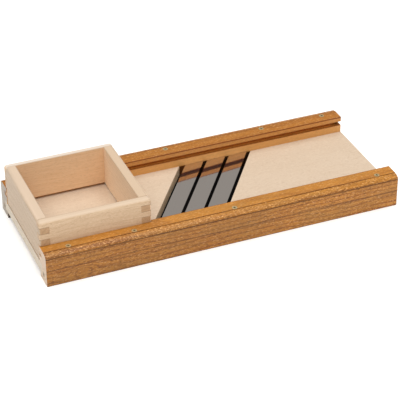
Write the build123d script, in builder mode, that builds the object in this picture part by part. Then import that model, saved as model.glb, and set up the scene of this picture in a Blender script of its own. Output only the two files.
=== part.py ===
from build123d import *
import os
from math import cos, radians, sin

# Cabbage cutter: two moulded rails carry two boards and three slanted knives,
# and an open box slides in the rails' grooves to push the cabbage over the knives.
# Millimetres. X runs along the rails, Y across them, Z up; the origin is at the
# middle of the footprint. The box rests at the -X end.

# Rails: a lower strip and a moulded cap, screwed together.
length = 520.0
channel_width = 152.0
rail_thickness = 29.0
base_height = 24.0
cap_height = 25.0
base_inset = 0.2
base_edge_radius = 0.4

# The cap's moulding: a flat, a fine quirk, a rounded shoulder and a second quirk.
shoulder_width = 9.6
shoulder_drop = 5.4
quirk_width = 0.6
quirk_depth = 0.9
shoulder_step = 0.5

# The groove in the cap, which the box's runner slides in.
lip_thickness = 7.5
groove_height = 6.2
groove_depth = 9.5
groove_edge_radius = 0.4

# Boards that the cabbage slides on, let into the lower strips.
board_thickness = 15.0
board_hold = 10.0
board_fit = 0.2
board_edge_radius = 0.6

# Knives, slanted across the channel. Places across them are measured square to the edges.
blade_slant = 34.9
blade_tilt = 3.0
blade_width = 23.8
blade_thickness = 1.5
blade_edge = 0.2
blade_bevel = 6.0
blade_pitch = 28.2
blade_count = 3
blade_row_centre = 3.8
blade_sink = 0.1
blade_hold = 8.0
blade_fit = 0.1
feed_gap = 7.8
throat = 4.4

# Countersunk wood screws, with a cross recess in the head.
screw_head_radius = 3.8
screw_shank_radius = 2.0
screw_point = 5.0
screw_sink = 0.2
screw_fit = 0.1
recess_width = 1.1
recess_span = 4.6
recess_depth = 1.4
rail_screw_length = 34.0
rail_screw_inset = 15.2
end_screw_length = 30.0
end_screw_inset = 15.0

# Screw places along the caps: two from the end where a rail starts, two from its other end.
front_screw_first = 27.0
front_screw_second = 245.0
front_screw_third = 129.0
front_screw_last = 36.0
back_screw_first = 27.0
back_screw_second = 244.0
back_screw_third = 124.0
back_screw_last = 25.0

# The sliding box: four walls, finger jointed, open at the top and the bottom.
box_length = 157.2
box_setback = 0.6
box_stand = 36.9
ledge_width = 4.8
end_wall_thickness = 14.4
side_wall_thickness = 10.1
end_wall_lift = 2.0
side_wall_lift = 4.3
fingers_above_rail = 4
joint_gap = 0.1
box_corner_radius = 2.4
box_top_radius = 4.6
box_mouth_radius = 1.0

# How freely the box slides.
slide_gap = 0.3
side_gap = 0.4
runner_tip_gap = 1.2
runner_seat = 2.0
runner_edge_radius = 0.7

# Levels and places that follow from the sizes above.
front = -1
back = 1
rail_height = base_height + cap_height
half_channel = channel_width / 2
board_under = base_height - board_thickness
groove_top = rail_height - lip_thickness
groove_floor = groove_top - groove_height
flat_width = rail_thickness - shoulder_width

slant_cos = cos(radians(blade_slant))
slant_sin = sin(radians(blade_slant))
tilt_cos = cos(radians(blade_tilt))
tilt_sin = sin(radians(blade_tilt))
blade_reach = blade_width * tilt_cos
blade_places = [blade_row_centre + (k - (blade_count - 1) / 2) * blade_pitch for k in range(blade_count)]
feed_edge = blade_places[0] - blade_reach / 2 - feed_gap
run_out_edge = blade_places[-1] + blade_reach / 2 + throat

front_stations = [front_screw_first, front_screw_second, length - front_screw_third, length - front_screw_last]
back_stations = [back_screw_first, back_screw_second, length - back_screw_third, length - back_screw_last]

box_left = -length / 2 + box_setback
box_x = box_left + box_length / 2
ledge_level = rail_height + slide_gap
box_top = ledge_level + box_stand
box_half_width = half_channel + ledge_width
neck_half_width = half_channel - side_gap
mouth_half_width = box_half_width - side_wall_thickness
end_wall_bottom = base_height + end_wall_lift
side_wall_bottom = base_height + side_wall_lift
finger_height = box_stand / fingers_above_rail


def rail_plane(side):
    """Section plane at the rail's start: x outward from the channel, y up, z along the rail."""
    return Plane(origin=(side * -length / 2, side * half_channel, 0), x_dir=(0, side, 0), z_dir=(side, 0, 0))


def along_rail(side, station):
    """X of a place that lies a distance along the rail from its start."""
    return side * (station - length / 2)


def slant_x(place, y):
    """X, at a given Y, of a line that runs with the knives."""
    return (place + y * slant_sin) / slant_cos


def board_outline(place, end, half_width):
    """Corners of a board that runs from one end of the rails to a slanted edge."""
    return [
        (end * length / 2, -half_width),
        (slant_x(place, -half_width), -half_width),
        (slant_x(place, half_width), half_width),
        (end * length / 2, half_width),
    ]


def board_seat(place, end):
    """The space that a board takes up, with its fit in the rails."""
    with BuildPart() as seat:
        with BuildSketch(Plane.XY.offset(board_under)):
            Polygon(*board_outline(place - end * board_fit, end, half_channel + board_hold), align=None)
        extrude(amount=board_thickness)
    return seat.part


def board(place, end):
    """A beech board, its slanted edge eased."""
    with BuildPart() as plank:
        with BuildSketch(Plane.XY.offset(board_under)):
            Polygon(*board_outline(place, end, half_channel + board_hold - board_fit), align=None)
        extrude(amount=board_thickness)
        top_edges = plank.faces().sort_by(Axis.Z)[-1].edges()
        slanted_edge = top_edges.sort_by(Axis((0, 0, 0), (end, 0, 0)))[0]
        fillet(slanted_edge, board_edge_radius)
    return plank


def blade_bar(place, spare):
    """A knife's bar: flat face up, ground from below to its edge, cut off inside the rails."""
    origin = (
        (place - blade_reach / 2) * slant_cos,
        (place - blade_reach / 2) * -slant_sin,
        base_height - blade_sink,
    )
    across = (slant_cos * tilt_cos, -slant_sin * tilt_cos, tilt_sin)
    with BuildPart() as bar:
        with BuildSketch(Plane(origin=origin, x_dir=across, z_dir=(-slant_sin, -slant_cos, 0))):
            Polygon(
                (0, 0),
                (blade_width, 0),
                (blade_width, -blade_edge),
                (blade_width - blade_bevel, -blade_thickness),
                (0, -blade_thickness),
                align=None,
            )
            if spare > 0:
                offset(amount=spare, kind=Kind.INTERSECTION)
        extrude(amount=length, both=True)
        Box(2 * length, 2 * (half_channel + blade_hold + spare), 2 * rail_height, mode=Mode.INTERSECT)
    return bar


def wood_screw(head_plane, shank_length):
    """A countersunk screw, driven in along the plane's -z, its head just below the surface."""
    cone = screw_head_radius - screw_shank_radius
    with BuildPart() as screw:
        with BuildSketch(Plane.XZ):
            Polygon(
                (0, -screw_sink),
                (screw_head_radius, -screw_sink),
                (screw_shank_radius, -screw_sink - cone),
                (screw_shank_radius, screw_point - shank_length),
                (0, -shank_length),
                align=None,
            )
        revolve(axis=Axis.Z)
        with Locations((0, 0, -screw_sink)):
            Box(recess_span, recess_width, 2 * recess_depth, mode=Mode.SUBTRACT)
            Box(recess_width, recess_span, 2 * recess_depth, mode=Mode.SUBTRACT)
    return head_plane.location * screw.part


def screw_hole(head_plane, shank_length):
    """The countersunk hole that such a screw sits in."""
    mouth = screw_head_radius + screw_sink + screw_fit
    bore = screw_shank_radius + screw_fit
    with BuildPart() as hole:
        with BuildSketch(Plane.XZ):
            Polygon(
                (0, 0),
                (mouth, 0),
                (bore, bore - mouth),
                (bore, -shank_length - screw_fit),
                (0, -shank_length - screw_fit),
                align=None,
            )
        revolve(axis=Axis.Z)
    return head_plane.location * hole.part


def rail_screw_planes(side, stations):
    """Head planes of the screws that hold a cap down."""
    y = side * (half_channel + rail_screw_inset)
    return [Plane(origin=(along_rail(side, s), y, rail_height)) for s in stations]


def end_screw_plane(side):
    """Head plane of the screw in the end grain of a lower strip, at the box's end."""
    y = side * (half_channel + end_screw_inset)
    return Plane(origin=(-length / 2, y, base_height / 2), x_dir=(0, 1, 0), z_dir=(-1, 0, 0))


front_planes = rail_screw_planes(front, front_stations)
back_planes = rail_screw_planes(back, back_stations)
end_planes = [end_screw_plane(side) for side in (front, back)]
feed_seat = board_seat(feed_edge, -1)
run_out_seat = board_seat(run_out_edge, 1)
kerfs = [blade_bar(place, blade_fit).part for place in blade_places]


def rail_base(side, screw_planes):
    """Lower strip of a rail, let out for the boards and sawn for the knives."""
    with BuildPart() as strip:
        with BuildSketch(rail_plane(side)) as section:
            width = rail_thickness - base_inset
            Rectangle(width, base_height, align=(Align.MIN, Align.MIN))
            fillet(section.vertices().group_by(Axis.Y)[0], base_edge_radius)
        extrude(amount=length)
        add([feed_seat, run_out_seat], mode=Mode.SUBTRACT)
        add(kerfs, mode=Mode.SUBTRACT)
        add([screw_hole(plane, rail_screw_length) for plane in screw_planes], mode=Mode.SUBTRACT)
        add([screw_hole(plane, end_screw_length) for plane in end_planes], mode=Mode.SUBTRACT)
    return strip


def rail_cap(side, screw_planes):
    """Upper strip of a rail, with its moulding outside and its groove inside."""
    shoulder_top = rail_height - shoulder_step
    shoulder_foot = rail_height - shoulder_drop
    flat_end = flat_width + quirk_width
    with BuildPart() as strip:
        with BuildSketch(rail_plane(side)) as section:
            with BuildLine():
                Polyline(
                    (0, base_height),
                    (0, groove_floor),
                    (groove_depth, groove_floor),
                    (groove_depth, groove_top),
                    (0, groove_top),
                    (0, rail_height),
                    (flat_width, rail_height),
                    (flat_width + quirk_width / 2, rail_height - quirk_depth),
                    (flat_end, shoulder_top),
                )
                EllipticalCenterArc(
                    (flat_end, shoulder_foot),
                    x_radius=rail_thickness - flat_end,
                    y_radius=shoulder_top - shoulder_foot,
                    arc_size=90,
                )
                Polyline(
                    (rail_thickness, shoulder_foot),
                    (rail_thickness - quirk_width, shoulder_foot - quirk_width),
                    (rail_thickness, shoulder_foot - 2 * quirk_width),
                    (rail_thickness, base_height),
                    (0, base_height),
                )
            make_face()
            inner_corners = section.vertices().group_by(Axis.X)[0].sort_by(Axis.Y)
            fillet(inner_corners[1:], groove_edge_radius)
        extrude(amount=length)
        add(kerfs, mode=Mode.SUBTRACT)
        add([screw_hole(plane, rail_screw_length) for plane in screw_planes], mode=Mode.SUBTRACT)
    return strip


front_rail_base = rail_base(front, front_planes)
back_rail_base = rail_base(back, back_planes)
front_rail_cap = rail_cap(front, front_planes)
back_rail_cap = rail_cap(back, back_planes)

feed_board = board(feed_edge, -1)
run_out_board = board(run_out_edge, 1)
blades = [blade_bar(place, 0) for place in blade_places]

with BuildPart() as front_rail_screws:
    add([wood_screw(plane, rail_screw_length) for plane in front_planes])

with BuildPart() as back_rail_screws:
    add([wood_screw(plane, rail_screw_length) for plane in back_planes])

with BuildPart() as end_screws:
    add([wood_screw(plane, end_screw_length) for plane in end_planes])


def runner(side):
    """Strip let into a side of the box, which slides in the rail's groove."""
    inner = neck_half_width - runner_seat
    tip = half_channel + groove_depth - runner_tip_gap
    middle = (groove_floor + groove_top) / 2
    with BuildPart() as strip:
        with Locations((box_x, side * (inner + tip) / 2, middle)):
            Box(box_length, tip - inner, groove_height - 2 * slide_gap)
        tip_face = strip.faces().sort_by(Axis.Y)[0 if side == front else -1]
        fillet(tip_face.edges().filter_by(Axis.X), runner_edge_radius)
    return strip


front_runner = runner(front)
back_runner = runner(back)

# The box's outer shape, its mouth and its runner seats; each wall is cut from it.
with BuildPart() as box_shell:
    with Locations((box_x, 0, ledge_level)):
        Box(box_length, 2 * box_half_width, box_stand, align=(Align.CENTER, Align.CENTER, Align.MIN))
    fillet(box_shell.edges().filter_by(Axis.Z), box_corner_radius)
    fillet(box_shell.faces().sort_by(Axis.Z)[-1].edges(), box_top_radius)
    with Locations((box_x, 0, end_wall_bottom)):
        Box(
            box_length,
            2 * neck_half_width,
            ledge_level - end_wall_bottom,
            align=(Align.CENTER, Align.CENTER, Align.MIN),
        )
        Box(
            box_length - 2 * end_wall_thickness,
            2 * mouth_half_width,
            box_top - end_wall_bottom,
            align=(Align.CENTER, Align.CENTER, Align.MIN),
            mode=Mode.SUBTRACT,
        )
    mouth = box_shell.faces().filter_by(Axis.Z).sort_by(Axis.Z)[-1].inner_wires()[0]
    fillet(mouth.edges(), box_mouth_radius)
    add([front_runner.part, back_runner.part], mode=Mode.SUBTRACT)


def band(k):
    """Lowest and highest level of the k-th finger, counted from the box's top."""
    return box_top - (k + 1) * finger_height, box_top - k * finger_height


side_bands = [band(k) for k in range(0, fingers_above_rail + 1, 2)]
end_bands = [band(k) for k in range(1, fingers_above_rail, 2)]
end_bands.append((end_wall_bottom - finger_height, side_bands[-1][0]))


def notch(corner_x, corner_y, levels):
    """A corner's block of space between two levels, which the other wall's finger fills."""
    low, high = levels
    with BuildPart() as block:
        with Locations((corner_x, corner_y, (low + high) / 2)):
            Box(
                end_wall_thickness + joint_gap,
                side_wall_thickness + joint_gap,
                high - low + joint_gap,
            )
    return block.part


def corner_place(end, side):
    """Middle of the square that two walls share at a corner of the box."""
    x = box_x + end * (box_length - end_wall_thickness) / 2
    y = side * (box_half_width - side_wall_thickness / 2)
    return x, y


def side_wall(side):
    """Front or back wall, notched at both ends."""
    notches = [notch(*corner_place(end, side), levels) for end in (-1, 1) for levels in end_bands]
    with BuildPart() as wall:
        add(box_shell.part)
        with Locations((box_x, side * box_half_width, side_wall_bottom)):
            Box(
                2 * box_length,
                2 * side_wall_thickness,
                box_stand + rail_height,
                align=(Align.CENTER, Align.CENTER, Align.MIN),
                mode=Mode.INTERSECT,
            )
        add(notches, mode=Mode.SUBTRACT)
    return wall


def end_wall(end):
    """Left or right wall, notched for the fingers of the front and back walls."""
    notches = [notch(*corner_place(end, side), levels) for side in (front, back) for levels in side_bands]
    with BuildPart() as wall:
        add(box_shell.part)
        with Locations((box_x + end * box_length / 2, 0, end_wall_bottom)):
            Box(
                2 * end_wall_thickness,
                4 * box_half_width,
                box_stand + rail_height,
                align=(Align.CENTER, Align.CENTER, Align.MIN),
                mode=Mode.INTERSECT,
            )
        add(notches, mode=Mode.SUBTRACT)
    return wall


box_front_wall = side_wall(front)
box_back_wall = side_wall(back)
box_left_wall = end_wall(-1)
box_right_wall = end_wall(1)

pieces = {
    "front_rail_base": front_rail_base,
    "front_rail_cap": front_rail_cap,
    "back_rail_base": back_rail_base,
    "back_rail_cap": back_rail_cap,
    "front_rail_screws": front_rail_screws,
    "back_rail_screws": back_rail_screws,
    "end_screws": end_screws,
    "feed_board": feed_board,
    "run_out_board": run_out_board,
    "box_front_wall": box_front_wall,
    "box_back_wall": box_back_wall,
    "box_left_wall": box_left_wall,
    "box_right_wall": box_right_wall,
    "front_runner": front_runner,
    "back_runner": back_runner,
}
for number, blade in enumerate(blades, start=1):
    pieces[f"blade_{number}"] = blade

os.makedirs("parts", exist_ok=True)
for name, piece in pieces.items():
    piece.part.label = name
    export_step(piece.part, f"parts/{name}.step")
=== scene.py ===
from math import pi

import bpy
from mathutils import Matrix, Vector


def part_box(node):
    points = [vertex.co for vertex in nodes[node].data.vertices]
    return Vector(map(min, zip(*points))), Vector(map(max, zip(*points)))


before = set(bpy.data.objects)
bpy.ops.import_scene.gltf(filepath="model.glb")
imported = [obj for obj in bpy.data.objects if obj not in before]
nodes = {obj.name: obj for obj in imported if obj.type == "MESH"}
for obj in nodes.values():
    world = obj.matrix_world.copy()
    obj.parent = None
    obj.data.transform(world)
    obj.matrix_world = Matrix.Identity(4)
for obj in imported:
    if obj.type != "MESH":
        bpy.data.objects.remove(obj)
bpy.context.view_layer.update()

# Cabbage cutter: oiled oak rails, beech boards and box, polished knives.
# Metres, in the part's own frame: X along the rails, Y across them, Z up.

mm = 0.001
degree = pi / 180
knife_slant = 34.9 * degree

# The rails' moulding, in millimetres: the quirk beside the rounded edge, the one under it, the joint of
# base and cap, and the groove that the box slides in.
outer_face = 105
quirk_y = 95.1
quirk_z = 43.0
joint_z = 24.0
half_channel = 76
groove_back = 85.5
groove_floor = 35.3
groove_top = 41.5
rail_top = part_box("front_rail_cap")[1].z / mm
rail_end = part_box("front_rail_cap")[0].x / mm

# Where the gap between the feed board and the first knife meets the back rail, in millimetres.
first_gap_start = -0.8
first_gap_end = 8.8

# The box's mouth, in millimetres: its four inner faces and its rim.
mouth_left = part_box("box_left_wall")[1].x / mm
mouth_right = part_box("box_right_wall")[0].x / mm
mouth_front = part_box("box_front_wall")[1].y / mm
mouth_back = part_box("box_back_wall")[0].y / mm
rim_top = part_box("box_front_wall")[1].z / mm

# The fingers share the box's height above the rails, which it clears by the slide gap, in millimetres.
slide_gap = 0.3
fingers_above_rail = 4
finger_height = (rim_top - rail_top - slide_gap) / fingers_above_rail

# Colours that more than one mark or timber has.
pore_joint_and_shade_brown = "#50290D"
oak_ray_and_glint = "#E8B070"


def linear(hex_colour):
    """The linear colour of an sRGB hex value, with full alpha."""
    channels = [int(hex_colour[i:i + 2], 16) / 255 for i in (1, 3, 5)]
    return [c / 12.92 if c <= 0.04045 else ((c + 0.055) / 1.055) ** 2.4 for c in channels] + [1.0]


def add(tree, kind, sockets=None, **settings):
    """Adds a node with its settings; a socket is given a value or another node's output."""
    node = tree.nodes.new(kind)
    for name, value in settings.items():
        setattr(node, name, value)
    for socket, value in (sockets or {}).items():
        if isinstance(value, bpy.types.NodeSocket):
            tree.links.new(value, node.inputs[socket])
        else:
            node.inputs[socket].default_value = value
    return node


# Sockets of the colour form of the Mix node, which share their names with its other forms.
SHARE = 0
FROM = 6
TO = 7
MIXED = 2


def new_material(name):
    """An empty node material with a Principled shader: (material, shader)."""
    material = bpy.data.materials.new(name)
    material.use_nodes = True
    tree = material.node_tree
    tree.nodes.clear()
    shader = add(tree, "ShaderNodeBsdfPrincipled")
    add(tree, "ShaderNodeOutputMaterial", {"Surface": shader.outputs[0]})
    return material, shader


def slab(tree, value, low, high, soft):
    """A mask that is 1 where a value lies between two levels, with edges this soft."""
    up = add(tree, "ShaderNodeMapRange", {"Value": value, "From Min": low - soft, "From Max": low})
    down = add(tree, "ShaderNodeMapRange", {"Value": value, "From Min": high + soft, "From Max": high})
    both = add(tree, "ShaderNodeMath", {0: up.outputs[0], 1: down.outputs[0]}, operation="MULTIPLY")
    return both.outputs[0]


def stain(tree, face, colour, share, *masks):
    """Lays a colour on the face, as strong as its share, a number or a mask, where the masks are full."""
    for mask in masks:
        share = add(tree, "ShaderNodeMath", {0: mask, 1: share}, operation="MULTIPLY").outputs[0]
    stained = add(tree, "ShaderNodeMix", {SHARE: share, FROM: face, TO: linear(colour)}, data_type="RGBA")
    return stained.outputs[MIXED]


def rail_marks(tree, face, surface):
    """What use and oil have done to a rail, with painted light on its lips and groove and painted shade in
    its corners.
    """
    where = add(tree, "ShaderNodeSeparateXYZ", {0: surface["place"]})
    along = where.outputs["X"]
    side = add(tree, "ShaderNodeMath", {0: where.outputs["Y"]}, operation="ABSOLUTE").outputs[0]
    height = where.outputs["Z"]

    # The half that the box and the hands are kept on has darkened most.
    outside = slab(tree, side, quirk_y + 0.5, outer_face + 1, 0.5)
    handled = add(tree, "ShaderNodeMapRange", {"Value": along, "From Min": 130, "From Max": 10})
    face = stain(tree, face, "#5A3414", 0.2, outside, handled.outputs[0])

    # The rounded edge is cut across the rays: scales of bright fleck all along it, partly ray fleck and
    # partly painted highlight where the round catches the light. Its foot is darker with painted shade.
    round_edge = slab(tree, height, quirk_z + 1, rail_top + 1, 1)
    round_foot = slab(tree, height, quirk_z, quirk_z + 1, 2.5)
    face = stain(tree, face, oak_ray_and_glint, 0.66, surface["ray_fleck"], outside, round_edge)
    face = stain(tree, face, "#5C3008", 0.35, outside, round_foot)

    # Painted shade darkens the two quirks and the rail's foot, where shade falls. Oil has darkened the joint
    # of base and cap.
    top_quirk = slab(tree, side, quirk_y - 0.3, quirk_y + 0.3, 0.6)
    above_quirk = slab(tree, height, quirk_z, rail_top + 1, 0.1)
    side_quirk = slab(tree, height, quirk_z - 0.3, quirk_z + 0.3, 0.6)
    joint_line = slab(tree, height, joint_z - 0.3, joint_z + 0.8, 0.8)
    rail_foot = slab(tree, height, -1, 0.6, 1.0)
    face = stain(tree, face, pore_joint_and_shade_brown, 0.6, top_quirk, above_quirk)
    face = stain(tree, face, pore_joint_and_shade_brown, 0.6, outside, side_quirk)
    face = stain(tree, face, pore_joint_and_shade_brown, 0.5, outside, joint_line)
    face = stain(tree, face, "#3A1E0A", 0.5, rail_foot)

    # The lips beside the channel are paler, partly by their own lighter wood and partly as painted light for
    # the bounce from the pale boards, except for their dark arris.
    inside = slab(tree, side, 0, half_channel + 0.3, 0.3)
    lower_lip = slab(tree, height, joint_z + 0.3, groove_floor, 0.5)
    upper_lip = slab(tree, height, groove_top, rail_top, 0.5)
    arris_side = slab(tree, side, 0, half_channel + 0.6, 0.4)
    arris_height = slab(tree, height, rail_top - 1.2, rail_top + 1, 0.4)
    face = stain(tree, face, "#EBAF68", 0.68, inside, lower_lip)
    face = stain(tree, face, "#DC9A54", 0.6, inside, upper_lip)
    face = stain(tree, face, "#783800", 0.9, arris_side, arris_height)

    # The groove is painted a bright ruddy orange: redder wood, and painted light for the bounce that reaches
    # into it. It fades back to the rail's own colour towards its open ends.
    groove_side = slab(tree, side, half_channel + 2.0, groove_back + 0.5, 1.0)
    groove_height = slab(tree, height, groove_floor - 0.3, groove_top + 0.3, 0.2)
    off_the_ends = slab(tree, along, rail_end + 14, -rail_end - 14, 10)
    face = stain(tree, face, "#FFA84E", 0.9, groove_side, groove_height, off_the_ends)

    # Painted shade darkens the groove's floor just behind the lip, dimming the light that its edge catches.
    shaded_floor_side = slab(tree, side, half_channel + 0.2, half_channel + 2.6, 1.6)
    shaded_floor_height = slab(tree, height, groove_floor - 0.5, groove_floor + 0.3, 0.2)
    face = stain(tree, face, "#8A4004", 0.75, shaded_floor_side, shaded_floor_height)

    # The groove's ceiling never sees the light: the knives mirror it as a dark red band.
    down = add(tree, "ShaderNodeMapRange", {"Value": surface["up"], "From Min": -0.5, "From Max": -0.8})
    ceiling = slab(tree, height, groove_top - 0.5, groove_top + 0.5, 0.3)
    face = stain(tree, face, "#4A1C0A", 0.9, down.outputs[0], ceiling)

    # Under the boards the rail is painted near black as painted shade, as the throats show it. The back
    # rail's stretch at the wide first gap gets some light, and is painted brown for it, as painted light.
    under = slab(tree, height, -1, joint_z - 0.6, 0.3)
    back_rail = slab(tree, where.outputs["Y"], 0, outer_face, 0.3)
    first_gap = slab(tree, along, first_gap_start, first_gap_end, 0.3)
    face = stain(tree, face, "#1A0F07", 0.9, inside, under)
    return stain(tree, face, "#6A3C18", 0.8, inside, under, back_rail, first_gap)


def joint_lines(tree, face, where):
    """Glue has left a thin dark line above and below each finger, at the box's four corners."""
    # A corner is what lies in an end wall and in a long wall at once.
    off_end_walls = slab(tree, where.outputs["X"], mouth_left, mouth_right, 0.2)
    off_long_walls = slab(tree, where.outputs["Y"], mouth_front, mouth_back, 0.2)
    off_corner = add(tree, "ShaderNodeMath", {0: off_end_walls, 1: off_long_walls}, operation="MAXIMUM")
    corner = add(tree, "ShaderNodeMath", {0: 1.0, 1: off_corner.outputs[0]}, operation="SUBTRACT").outputs[0]

    # The depth below the rim, folded at each half finger, is the distance from the nearest line.
    depth = add(tree, "ShaderNodeMath", {0: rim_top, 1: where.outputs["Z"]}, operation="SUBTRACT").outputs[0]
    away = add(tree, "ShaderNodeMath", {0: depth, 1: finger_height / 2}, operation="PINGPONG").outputs[0]
    line = slab(tree, away, -1, 0.45, 0.35)
    below_rim = slab(tree, depth, 3, rim_top, 0.5)
    return stain(tree, face, "#6E4A2C", 0.6, corner, line, below_rim)


def wall_marks(rim, axis, edge, edge_shade):
    """Marks of a box wall: a rim of its own colour, darkened along its inner edge by painted shade.

    edge is where that inner edge lies on its axis, and edge_shade is how dark that painted shade is.
    """
    def marks(tree, face, surface):
        where = add(tree, "ShaderNodeSeparateXYZ", {0: surface["place"]})
        up = add(tree, "ShaderNodeMapRange", {"Value": surface["up"], "From Min": 0.35, "From Max": 0.85})
        high = slab(tree, where.outputs["Z"], rim_top - 5, rim_top + 1, 1)
        face = stain(tree, face, rim, 1.0, up.outputs[0], high)
        face = joint_lines(tree, face, where)
        # Painted shade along the rim's inner edge.
        inner_edge = slab(tree, where.outputs[axis], edge - 1.1, edge + 1.1, 0.5)
        at_rim = slab(tree, where.outputs["Z"], rim_top - 1, rim_top + 1, 0.3)
        return stain(tree, face, "#94704A", edge_shade, inner_edge, at_rim)
    return marks


def sawn_edge_and_light(tree, face, surface):
    """A board's slanted edge is sawn and never planed, and is warmer than its top; its shaded face is also
    painted paler, as painted light.
    """
    upright = slab(tree, surface["up"], -0.3, 0.3, 0.2)
    return stain(tree, face, "#EDCFAA", 1.0, upright)


def cells(length, width):
    """The scale of a noise whose cells are this long along the grain and this wide, in millimetres."""
    return (1 / length, 1 / width, 1 / width)


def wood(
    name, grain, early, late, pore, fleck, ends,
    ring_mm, ring_share, streak_share, pore_share, fleck_share,
    heart_mm, roughness, gloss, knot_mm=None, calm_top=0.0, patchy=0.0, marks=None,
):
    """Timber as a solid: growth rings round a heart line, fibre streaks, open pores and ray flecks.

    grain is the axis that the fibres follow. early and late are the colours of the two parts of a ring, and
    ends are those on the sawn end grain. ring_mm is how far apart the rings are drawn. The four shares are
    how strongly rings, streaks, pores and flecks show. heart_mm is where the log's middle lies across the
    grain, in millimetres from the object's origin. knot_mm is the place of a small knot that the rings part
    round. calm_top is how much of the figure a top loses, where it is cut along the rays. patchy is how far
    the oil has taken unevenly. marks adds what the piece's own use and edges have left on it, and the light
    and shade painted on it: it is given the surface's place in millimetres, how far it looks up, and its ray
    flecks.
    """
    material, shader = new_material(name)
    tree = material.node_tree
    texture_place = add(tree, "ShaderNodeTexCoord")
    place = texture_place.outputs["Object"]
    turn = (0, 0, 0) if grain == "X" else (0, 0, -pi / 2)
    fibre_way = (1, 0, 0) if grain == "X" else (0, 1, 0)
    along = add(
        tree, "ShaderNodeMapping", {"Vector": place, "Rotation": turn, "Scale": (1 / mm,) * 3},
    ).outputs[0]

    # Slow waves of the log: the rings wander up to a centimetre over a hand's length.
    slow = add(tree, "ShaderNodeMapping", {"Vector": along, "Scale": cells(length=170, width=60)})
    slow = add(tree, "ShaderNodeTexNoise", {"Vector": slow.outputs[0], "Scale": 1.0, "Detail": 3.0})
    centred = add(
        tree, "ShaderNodeVectorMath",
        {0: slow.outputs["Color"], 1: (0.5, 0.5, 0.5)}, operation="SUBTRACT",
    )
    shift = add(tree, "ShaderNodeVectorMath", {0: centred.outputs[0], 1: (0, 20, 20)}, operation="MULTIPLY")
    bent = add(tree, "ShaderNodeVectorMath", {0: along, 1: shift.outputs[0]}, operation="ADD")
    across = add(tree, "ShaderNodeVectorMath", {0: bent.outputs[0], 1: (0, *heart_mm)}, operation="SUBTRACT")
    across = add(tree, "ShaderNodeVectorMath", {0: across.outputs[0], 1: (0, 1, 1)}, operation="MULTIPLY")
    radius = add(tree, "ShaderNodeVectorMath", {0: across.outputs[0]}, operation="LENGTH").outputs["Value"]

    if knot_mm:
        # Rings bulge round the knot and close up again 14 mm away, or twice as far along the grain.
        away = add(tree, "ShaderNodeVectorMath", {0: along, 1: knot_mm}, operation="SUBTRACT")
        away = add(tree, "ShaderNodeVectorMath", {0: away.outputs[0], 1: (0.5, 1, 1)}, operation="MULTIPLY")
        away = add(tree, "ShaderNodeVectorMath", {0: away.outputs[0]}, operation="LENGTH")
        swell = add(
            tree, "ShaderNodeMapRange",
            {
                "Value": away.outputs["Value"], "From Min": 0.0, "From Max": 14.0,
                "To Min": 13.0, "To Max": 0.0,
            },
            interpolation_type="SMOOTHSTEP",
        )
        radius = add(tree, "ShaderNodeMath", {0: radius, 1: swell.outputs[0]}, operation="ADD").outputs[0]

    # Growth rings: early wood darkens slowly into late wood, then steps back to pale.
    ring = add(tree, "ShaderNodeMath", {0: radius, 1: ring_mm}, operation="DIVIDE")
    ring = add(tree, "ShaderNodeMath", {0: ring.outputs[0]}, operation="FRACT").outputs[0]
    rise = add(
        tree, "ShaderNodeMapRange", {"Value": ring, "From Min": 0.45, "From Max": 0.92},
        interpolation_type="SMOOTHSTEP",
    )
    fall = add(tree, "ShaderNodeMapRange", {"Value": ring, "From Min": 1.0, "From Max": 0.93})
    late_wood = add(
        tree, "ShaderNodeMath", {0: rise.outputs[0], 1: fall.outputs[0]}, operation="MULTIPLY",
    ).outputs[0]

    # Fibres: streaks a millimetre or two wide and a finger long.
    fibre = add(tree, "ShaderNodeMapping", {"Vector": bent.outputs[0], "Scale": cells(length=60, width=1.6)})
    fibre = add(tree, "ShaderNodeTexNoise", {"Vector": fibre.outputs[0], "Scale": 1.0, "Detail": 5.0})
    streak = add(
        tree, "ShaderNodeMapRange", {"Value": fibre.outputs[0], "From Min": 0.34, "From Max": 0.66},
    ).outputs[0]

    # Pores: dark dashes, drawn 0.8 mm wide where real ones are 0.3 mm, so that they show from here.
    dash = add(tree, "ShaderNodeMapping", {"Vector": bent.outputs[0], "Scale": cells(length=5, width=0.8)})
    dash = add(tree, "ShaderNodeTexNoise", {"Vector": dash.outputs[0], "Scale": 1.0, "Detail": 1.0})
    open_pore = add(
        tree, "ShaderNodeMapRange", {"Value": dash.outputs[0], "From Min": 0.56, "From Max": 0.68},
    ).outputs[0]

    # Ray flecks: bright scales about 3 mm long and 1 mm wide, where the saw has met the rays.
    scale = add(
        tree, "ShaderNodeMapping",
        {"Vector": along, "Location": (37, 11, 5), "Scale": cells(length=3.2, width=0.9)},
    )
    scale = add(tree, "ShaderNodeTexNoise", {"Vector": scale.outputs[0], "Scale": 1.0, "Detail": 2.0})
    ray_fleck = add(
        tree, "ShaderNodeMapRange", {"Value": scale.outputs[0], "From Min": 0.57, "From Max": 0.65},
    ).outputs[0]

    # A top that is cut along the rays shows less of the rings, streaks and pores.
    normal = add(tree, "ShaderNodeSeparateXYZ", {0: texture_place.outputs["Normal"]})
    up = normal.outputs["Z"]
    is_top = add(tree, "ShaderNodeMapRange", {"Value": up, "From Min": 0.9, "From Max": 0.99})
    figure = add(
        tree, "ShaderNodeMath", {0: is_top.outputs[0], 1: -calm_top, 2: 1.0}, operation="MULTIPLY_ADD",
    ).outputs[0]
    darkness = add(tree, "ShaderNodeMath", {0: late_wood, 1: ring_share}, operation="MULTIPLY").outputs[0]
    darkness = add(
        tree, "ShaderNodeMath", {0: streak, 1: streak_share, 2: darkness},
        operation="MULTIPLY_ADD", use_clamp=True,
    ).outputs[0]
    darkness = add(tree, "ShaderNodeMath", {0: darkness, 1: figure}, operation="MULTIPLY").outputs[0]

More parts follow.
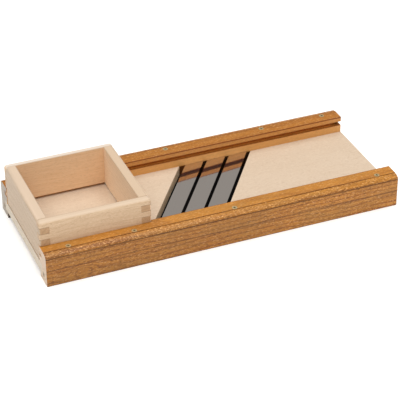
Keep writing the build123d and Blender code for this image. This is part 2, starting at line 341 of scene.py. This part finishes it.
    # The long grain has all the marks, and the sawn ends have only the rings and streaks.
    face = stain(tree, linear(early), late, darkness)
    cut_end = stain(tree, linear(ends[0]), ends[1], darkness)
    face = stain(tree, face, pore, pore_share, open_pore, figure)
    face = stain(tree, face, fleck, fleck_share, ray_fleck)
    if patchy:
        # The oil took unevenly: khaki patches a finger long and a thumb wide.
        patch = add(
            tree, "ShaderNodeMapping",
            {"Vector": along, "Location": (9, 3, 7), "Scale": cells(length=70, width=16)},
        )
        patch = add(tree, "ShaderNodeTexNoise", {"Vector": patch.outputs[0], "Scale": 1.0, "Detail": 2.0})
        patch = add(
            tree, "ShaderNodeMapRange", {"Value": patch.outputs[0], "From Min": 0.42, "From Max": 0.66},
        )
        face = stain(tree, face, "#8C6A38", patchy, patch.outputs[0])
    if marks:
        in_mm = add(tree, "ShaderNodeVectorMath", {0: place, 1: (1 / mm,) * 3}, operation="MULTIPLY")
        face = marks(tree, face, {"place": in_mm.outputs[0], "up": up, "ray_fleck": ray_fleck})

    # End grain shows wherever the surface looks along the fibres.
    facing = add(
        tree, "ShaderNodeVectorMath",
        {0: texture_place.outputs["Normal"], 1: fibre_way}, operation="DOT_PRODUCT",
    )
    facing = add(tree, "ShaderNodeMath", {0: facing.outputs["Value"]}, operation="ABSOLUTE")
    is_end = add(
        tree, "ShaderNodeMapRange", {"Value": facing.outputs[0], "From Min": 0.88, "From Max": 0.97},
    ).outputs[0]
    colour = add(tree, "ShaderNodeMix", {SHARE: is_end, FROM: face, TO: cut_end}, data_type="RGBA")
    tree.links.new(colour.outputs[MIXED], shader.inputs["Base Color"])

    # Pores are sunk and streaks stand up by no more than a tenth of a millimetre.
    shader.inputs["Roughness"].default_value = roughness
    shader.inputs["Specular IOR Level"].default_value = gloss
    relief = add(tree, "ShaderNodeMath", {0: open_pore, 1: -1.0, 2: streak}, operation="MULTIPLY_ADD")
    bump = add(tree, "ShaderNodeBump", {"Height": relief.outputs[0], "Strength": 0.6, "Distance": 0.1 * mm})
    tree.links.new(bump.outputs[0], shader.inputs["Normal"])
    return material


# Oak, moulded and oiled to a honey brown, with dark open pores and pale ray flecks. It was sawn to length
# after it was coloured, so that its ends stay pale. Both strips of the front rail are a little lighter.
oak = dict(
    grain="X", pore=pore_joint_and_shade_brown, fleck=oak_ray_and_glint, ring_mm=6.0, ring_share=0.6, streak_share=0.42,
    pore_share=0.8, fleck_share=0.5, roughness=0.42, gloss=0.3, calm_top=0.5, marks=rail_marks,
)
front_plank = dict(early="#BE7E30", late="#814717", ends=("#D4BCA3", "#BFA389"))
front_oak = wood("honey_oiled_oak_front", heart_mm=(-75, -40), patchy=0.25, **front_plank, **oak)
knotty_oak = wood(
    "honey_oiled_oak_with_a_knot", heart_mm=(-70, 66), knot_mm=(-209, -104, 14), patchy=0.3,
    **front_plank, **oak,
)
back_oak = wood(
    "honey_oiled_oak_back", early="#AF6E24", late="#7A4213", ends=("#A6998A", "#8F8170"),
    heart_mm=(140, -60), patchy=0.1, **oak,
)

# Beech, planed and left bare: pale and even, with faint streaks, fine darker pores and paler ray flecks.
# The two boards are alike. The box's walls differ in colour, partly by their wood and partly as painted
# light:
# the back and right walls, whose shaded inner faces show, are painted paler, and the left wall, whose lit
# outer face shows, a little darker.
beech = dict(pore="#9C7A58", roughness=0.5, gloss=0.3)
board_beech = wood(
    "planed_beech_boards", grain="X", early="#CEB9A2", late="#BFA68A", fleck="#DCCAB4",
    ends=("#D0C2AE", "#BBAA94"), heart_mm=(30, -260), ring_mm=11, ring_share=0.1, streak_share=0.25,
    pore_share=0.24, fleck_share=0.42, marks=sawn_edge_and_light, **beech,
)

# The box's walls are of beech with narrower rings, and their end grain is browner than the boards'.
long_wall = dict(grain="X", ends=("#C4A482", "#A88664"), ring_mm=6, streak_share=0.4)
end_wall = dict(grain="Y", ends=("#BE9C78", "#9C7856"), ring_mm=6, streak_share=0.4)
front_beech = wood(
    "planed_beech_front_wall", early="#D5BA9A", late="#BC9A78", fleck="#E0C8AC", heart_mm=(60, -90),
    ring_share=0.2, pore_share=0.32, fleck_share=0.45,
    marks=wall_marks("#CFB89F", "Y", mouth_front, edge_shade=0.5), **long_wall, **beech,
)
back_beech = wood(
    "planed_beech_back_wall", early="#F1CBA3", late="#DBAE7E", fleck="#F0D4B2", heart_mm=(-50, -80),
    ring_share=0.08, pore_share=0.18, fleck_share=0.25,
    marks=wall_marks("#D8C8B8", "Y", mouth_back, edge_shade=0.3), **long_wall, **beech,
)
left_beech = wood(
    "planed_beech_left_wall", early="#C1AA90", late="#AC9278", fleck="#CFBAA1", heart_mm=(60, -90),
    ring_share=0.25, pore_share=0.3, fleck_share=0.45,
    marks=wall_marks("#CFB8A0", "X", mouth_left, edge_shade=0.3), **end_wall, **beech,
)
right_beech = wood(
    "planed_beech_right_wall", early="#FAE0C2", late="#E8C8A4", fleck="#FAE6CC", heart_mm=(90, -50),
    ring_share=0.2, pore_share=0.2, fleck_share=0.3,
    marks=wall_marks("#CCB398", "X", mouth_right, edge_shade=0.2), **end_wall, **beech,
)


def polished_steel():
    """Knife steel, ground and mirror polished: of the grinding, faint lines along the edge are left."""
    material, shader = new_material("polished_knife_steel")
    tree = material.node_tree
    shader.inputs["Base Color"].default_value = linear("#DCD3CC")
    shader.inputs["Metallic"].default_value = 0.98
    # Grinding lines along the edge, about 0.4 mm apart and 60 mm long.
    line_gap = 0.4 * mm
    line_length = 60 * mm
    place = add(tree, "ShaderNodeTexCoord").outputs["Object"]
    turned = add(
        tree, "ShaderNodeMapping",
        {
            "Vector": place, "Rotation": (0, 0, knife_slant),
            "Scale": (1 / line_gap, 1 / line_length, 1 / line_gap),
        },
    )
    lines = add(tree, "ShaderNodeTexNoise", {"Vector": turned.outputs[0], "Scale": 1.0, "Detail": 2.0})
    rough = add(
        tree, "ShaderNodeMapRange",
        {"Value": lines.outputs[0], "From Min": 0.3, "From Max": 0.7, "To Min": 0.05, "To Max": 0.12},
    )
    tree.links.new(rough.outputs[0], shader.inputs["Roughness"])
    return material


def zinc_plate(name, clean, cloudy, axis, sunk_below, flush_above):
    """Zinc plate on a steel screw: dull, mottled by the bath, and darker in the recess.

    Along the screw's axis, in millimetres, the darkening is full where it lies deeper than sunk_below, and
    gone at flush_above.
    """
    material, shader = new_material(name)
    tree = material.node_tree
    mottle = 1.5 * mm
    place = add(tree, "ShaderNodeTexCoord").outputs["Object"]
    patch = add(tree, "ShaderNodeTexNoise", {"Vector": place, "Scale": 1 / mottle, "Detail": 2.0})
    split = add(tree, "ShaderNodeSeparateXYZ", {0: place})
    sunk = add(
        tree, "ShaderNodeMapRange",
        {
            "Value": split.outputs[axis], "From Min": sunk_below * mm, "From Max": flush_above * mm,
            "To Min": 0.5, "To Max": 0.0,
        },
    )
    plate = stain(tree, linear(clean), cloudy, patch.outputs[0])
    plate = stain(tree, plate, "#6A5434", sunk.outputs[0])
    tree.links.new(plate, shader.inputs["Base Color"])
    shader.inputs["Metallic"].default_value = 1.0
    shader.inputs["Roughness"].default_value = 0.6
    return material


knife_steel = polished_steel()

# The rails' screws are yellow passivated, which gives a pale gold, and those in the ends have gone grey.
rail_zinc = zinc_plate(
    "yellow_zinc_plate_rail_screws", "#DCCAA0", "#BCA67C", "Z",
    sunk_below=rail_top - 0.5, flush_above=rail_top - 0.2,
)
end_zinc = zinc_plate(
    "grey_zinc_plate_end_screws", "#BAB4A4", "#9A9486", "X",
    sunk_below=rail_end + 0.5, flush_above=rail_end + 0.2,
)

finishes = {
    "front_rail_base": knotty_oak,
    "front_rail_cap": front_oak,
    "back_rail_base": back_oak,
    "back_rail_cap": back_oak,
    "feed_board": board_beech,
    "run_out_board": board_beech,
    "blade_1": knife_steel,
    "blade_2": knife_steel,
    "blade_3": knife_steel,
    "front_rail_screws": rail_zinc,
    "back_rail_screws": rail_zinc,
    "end_screws": end_zinc,
    "box_front_wall": front_beech,
    "box_back_wall": back_beech,
    "box_left_wall": left_beech,
    "box_right_wall": right_beech,
    "front_runner": front_beech,
    "back_runner": back_beech,
}
for node, material in finishes.items():
    slots = nodes[node].data.materials
    slots.clear()
    slots.append(material)


def ease_arrises(node, width):
    """Takes the sharp corners off a CAD node as a sanding block does, with a live weld and bevel."""
    piece = nodes[node]
    weld = piece.modifiers.new("weld", "WELD")
    weld.merge_threshold = 0.001 * mm
    bevel = piece.modifiers.new("eased_arrises", "BEVEL")
    bevel.width = width * mm
    bevel.segments = 2
    bevel.limit_method = "ANGLE"
    bevel.angle_limit = 35 * degree
    bevel.harden_normals = True
    bevel.use_clamp_overlap = True


# The rails and boards are worn rounder than the box. Widths in millimetres.
for node in (
    "feed_board", "run_out_board", "front_rail_base", "back_rail_base", "front_rail_cap", "back_rail_cap",
):
    ease_arrises(node, width=0.35)
for node in ("box_front_wall", "box_back_wall", "box_left_wall", "box_right_wall"):
    ease_arrises(node, width=0.15)


def studio():
    """White paper under a broad soft light, in a grey room that the knives mirror."""
    # Matt white paper, which glows a little for the light that a tent sends it from all sides. It is wide
    # enough that the low views see no edge.
    bpy.ops.object.select_all(action="DESELECT")
    bpy.ops.mesh.primitive_plane_add(size=80)
    floor = bpy.context.object
    floor.name = "paper_floor"
    paper, shader = new_material("white_paper")
    shader.inputs["Base Color"].default_value = linear("#F9F9F8")
    shader.inputs["Roughness"].default_value = 0.9
    shader.inputs["Emission Color"].default_value = (1.0, 1.0, 1.0, 1.0)
    shader.inputs["Emission Strength"].default_value = 0.1
    floor.data.materials.append(paper)

    # A black card on the floor under the knives, as painted shade: it stands in for the deep shade under the
    # cutter, and the throats look down on it and read black.
    card_middle = (0.008, 0, 0.05 * mm)
    card_length = 0.25
    card_width = 0.17
    bpy.ops.object.select_all(action="DESELECT")
    bpy.ops.mesh.primitive_plane_add(size=1, location=card_middle)
    bpy.ops.transform.resize(value=(card_length, card_width, 1))
    card = bpy.context.object
    card.name = "black_card"
    black, shader = new_material("matt_black_card")
    shader.inputs["Base Color"].default_value = linear("#0C0B0A")
    shader.inputs["Roughness"].default_value = 1.0
    card.data.materials.append(black)

    world = bpy.data.worlds.new("grey_room")
    world.use_nodes = True
    room = world.node_tree.nodes["Background"]
    room.inputs["Color"].default_value = (0.355, 0.35, 0.34, 1.0)
    room.inputs["Strength"].default_value = 1.0
    bpy.context.scene.world = world

    overhead = bpy.data.lights.new("overhead_light_tent", "SUN")
    overhead.energy = 0.97 * pi
    overhead.angle = 75 * degree
    fill = bpy.data.lights.new("front_soft_box", "AREA")
    fill.shape = "RECTANGLE"
    fill.size = 4.0
    fill.size_y = 2.5
    fill.energy = 11

    # Both lights are aimed at the middle of the cutter's footprint.
    for light, place in ((overhead, (-0.1, -0.13, 1.0)), (fill, (-0.2, -2.9, 1.2))):
        lamp = bpy.data.objects.new(light.name, light)
        lamp.location = place
        lamp.rotation_euler = (-lamp.location).to_track_quat("-Z", "Y").to_euler()
        bpy.context.scene.collection.objects.link(lamp)


def photo_camera():
    """A long lens from the front left, above: place, turns and focal length fitted to the photograph."""
    place = (-0.7152, -1.7762, 1.2386)
    yaw = 0.3832
    pitch = 0.5702
    roll = -0.0074
    focal_pixels = 1600.3
    frame_pixels = 400
    turn = (
        Matrix.Rotation(-yaw, 3, "Z")
        @ Matrix.Rotation(pi / 2 - pitch, 3, "X")
        @ Matrix.Rotation(roll, 3, "Z")
    )
    lens = bpy.data.cameras.new("photo_camera")
    lens.sensor_width = 36
    lens.lens = focal_pixels / frame_pixels * lens.sensor_width
    # Far enough for all of the floor.
    lens.clip_end = 100
    camera = bpy.data.objects.new("photo_camera", lens)
    camera.location = place
    camera.rotation_euler = turn.to_euler()
    bpy.context.scene.collection.objects.link(camera)
    bpy.context.scene.camera = camera


studio()
photo_camera()
bpy.context.scene.view_settings.view_transform = "Standard"
